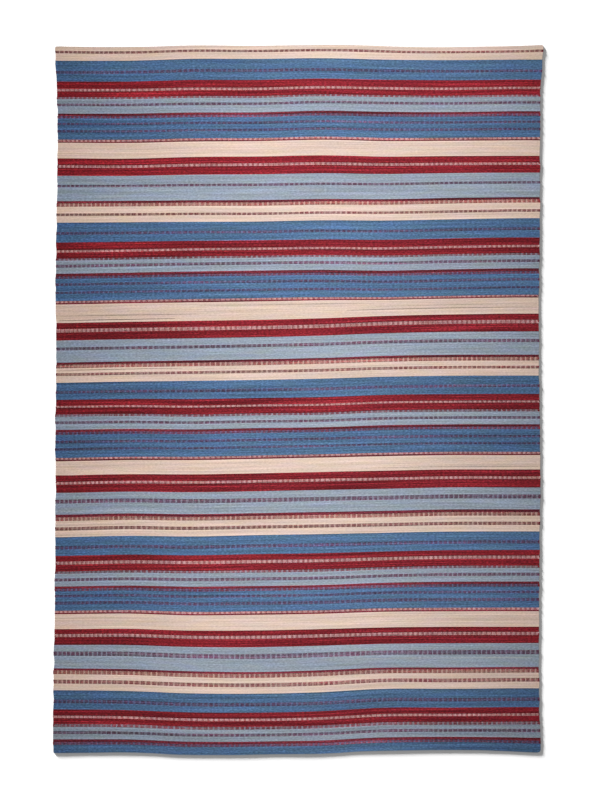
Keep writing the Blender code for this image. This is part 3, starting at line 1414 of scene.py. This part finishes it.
# %% Lay the floor
FLOOR_SIZE = 16.0
FLOOR_GAP = 0.3 * MM


def build_floor():
    """A pale matt floor just under the rug."""
    deselect_all()
    bpy.ops.mesh.primitive_plane_add(size=FLOOR_SIZE, location=(0, 0, -FLOOR_GAP))
    floor = bpy.context.active_object
    floor.name = "floor"
    bpy.ops.object.transform_apply(location=True, rotation=False, scale=False)
    material = bpy.data.materials.new("pale floor")
    material.use_nodes = True
    shader = material.node_tree.nodes["Principled BSDF"]
    shader.inputs["Base Color"].default_value = (0.93, 0.93, 0.93, 1.0)
    shader.inputs["Roughness"].default_value = 0.9
    shader.inputs["Specular IOR Level"].default_value = 0.0
    floor.data.materials.append(material)
    return floor


floor_plane = build_floor()
print("the floor is", FLOOR_SIZE, "m across")

# %% Light the room
ROOM_LIGHT = 0.30
WALL_LOOK = 1.0  # how bright the walls look past the end of the floor


def light_room():
    """An even light from all round, from walls as pale as the floor."""
    world = bpy.data.worlds.new("pale room")
    bpy.context.scene.world = world
    world.use_nodes = True
    tree = world.node_tree
    background = tree.nodes["Background"]
    background.inputs["Color"].default_value = (1.0, 1.0, 1.0, 1.0)
    seen = tree.nodes.new("ShaderNodeLightPath").outputs["Is Camera Ray"]
    strength = calculate(tree, "MULTIPLY_ADD", seen, WALL_LOOK - ROOM_LIGHT, ROOM_LIGHT)
    put(tree, background.inputs["Strength"], strength)


light_room()
print("the room's light is", ROOM_LIGHT)

# %% Light the floor
SHADOW_RIGHT = 16.5 * MM  # how far the middle of the soft shadow reaches at the right edge
SHADOW_DOWN = 21.5 * MM  # and at the lower edge
SHADOW_LIGHT = 3.0
SHADOW_SOFTNESS = radians(9.5)


def shine_only_on(lamp, name, pieces):
    """Limit a lamp to the given pieces."""
    collection = bpy.data.collections.new(name)
    for piece in pieces:
        collection.objects.link(piece)
    lamp.light_linking.receiver_collection = collection


def light_floor():
    """The low light that shines on the floor and throws the rug's narrow shadow."""
    elevation = atan2(THICKNESS, hypot(SHADOW_RIGHT, SHADOW_DOWN))
    deselect_all()
    bpy.ops.object.light_add(type="SUN", location=(-2, 2, 2))
    sun = bpy.context.active_object
    sun.name = "low_light"
    sun.data.energy = SHADOW_LIGHT / sin(elevation)
    sun.data.angle = SHADOW_SOFTNESS
    ray = Vector((SHADOW_RIGHT, -SHADOW_DOWN, -THICKNESS))
    sun.rotation_euler = ray.to_track_quat("-Z", "Y").to_euler()
    shine_only_on(sun, "lit by the low light", [floor_plane])
    print("the low light stands", round(elevation * 180 / pi, 1), "degrees above the floor")


light_floor()

# %% Light the rug
LAMP_SIZE = (0.6, 4.6)
LAMP_PLACE = (0.0, 0.5, 1.65)
LAMP_TURN = radians(-5)
LAMP_POWER = 46.0


def light_rug():
    """The broad lamp over the rug, a little nearer to its upper end."""
    deselect_all()
    bpy.ops.object.light_add(type="AREA", location=LAMP_PLACE, rotation=(0, 0, LAMP_TURN))
    lamp = bpy.context.active_object
    lamp.name = "rug_lamp"
    lamp.data.shape = "RECTANGLE"
    lamp.data.size, lamp.data.size_y = LAMP_SIZE
    lamp.data.energy = LAMP_POWER
    shine_only_on(lamp, "lit by the lamp", pieces)


light_rug()
print("the lamp over the rug has", LAMP_POWER, "watts")

# %% Place the camera
PHOTO_SIZE = (600, 800)
PIXEL = 4.2 * MM  # what one pixel of the picture covers on the rug
PHOTO_OF_ORIGIN = (297.75, 399.3)  # where the middle of the rug lies in the picture
LENS = 85.0
SENSOR = 36.0


def place_camera():
    """A camera straight above the rug, with the rug where the photograph has it."""
    deselect_all()
    distance = PHOTO_SIZE[1] * PIXEL * LENS / SENSOR
    x = ((PHOTO_SIZE[0] - 1) / 2 - PHOTO_OF_ORIGIN[0]) * PIXEL
    y = -((PHOTO_SIZE[1] - 1) / 2 - PHOTO_OF_ORIGIN[1]) * PIXEL
    bpy.ops.object.camera_add(location=(x, y, THICKNESS + distance), rotation=(0, 0, 0))
    camera = bpy.context.active_object
    camera.name = "camera"
    camera.data.lens = LENS
    camera.data.sensor_width = SENSOR
    camera.data.clip_end = 100.0
    bpy.context.scene.camera = camera
    print("the camera is", round(distance, 2), "m above the rug")


place_camera()
bpy.context.scene.view_settings.view_transform = "Standard"
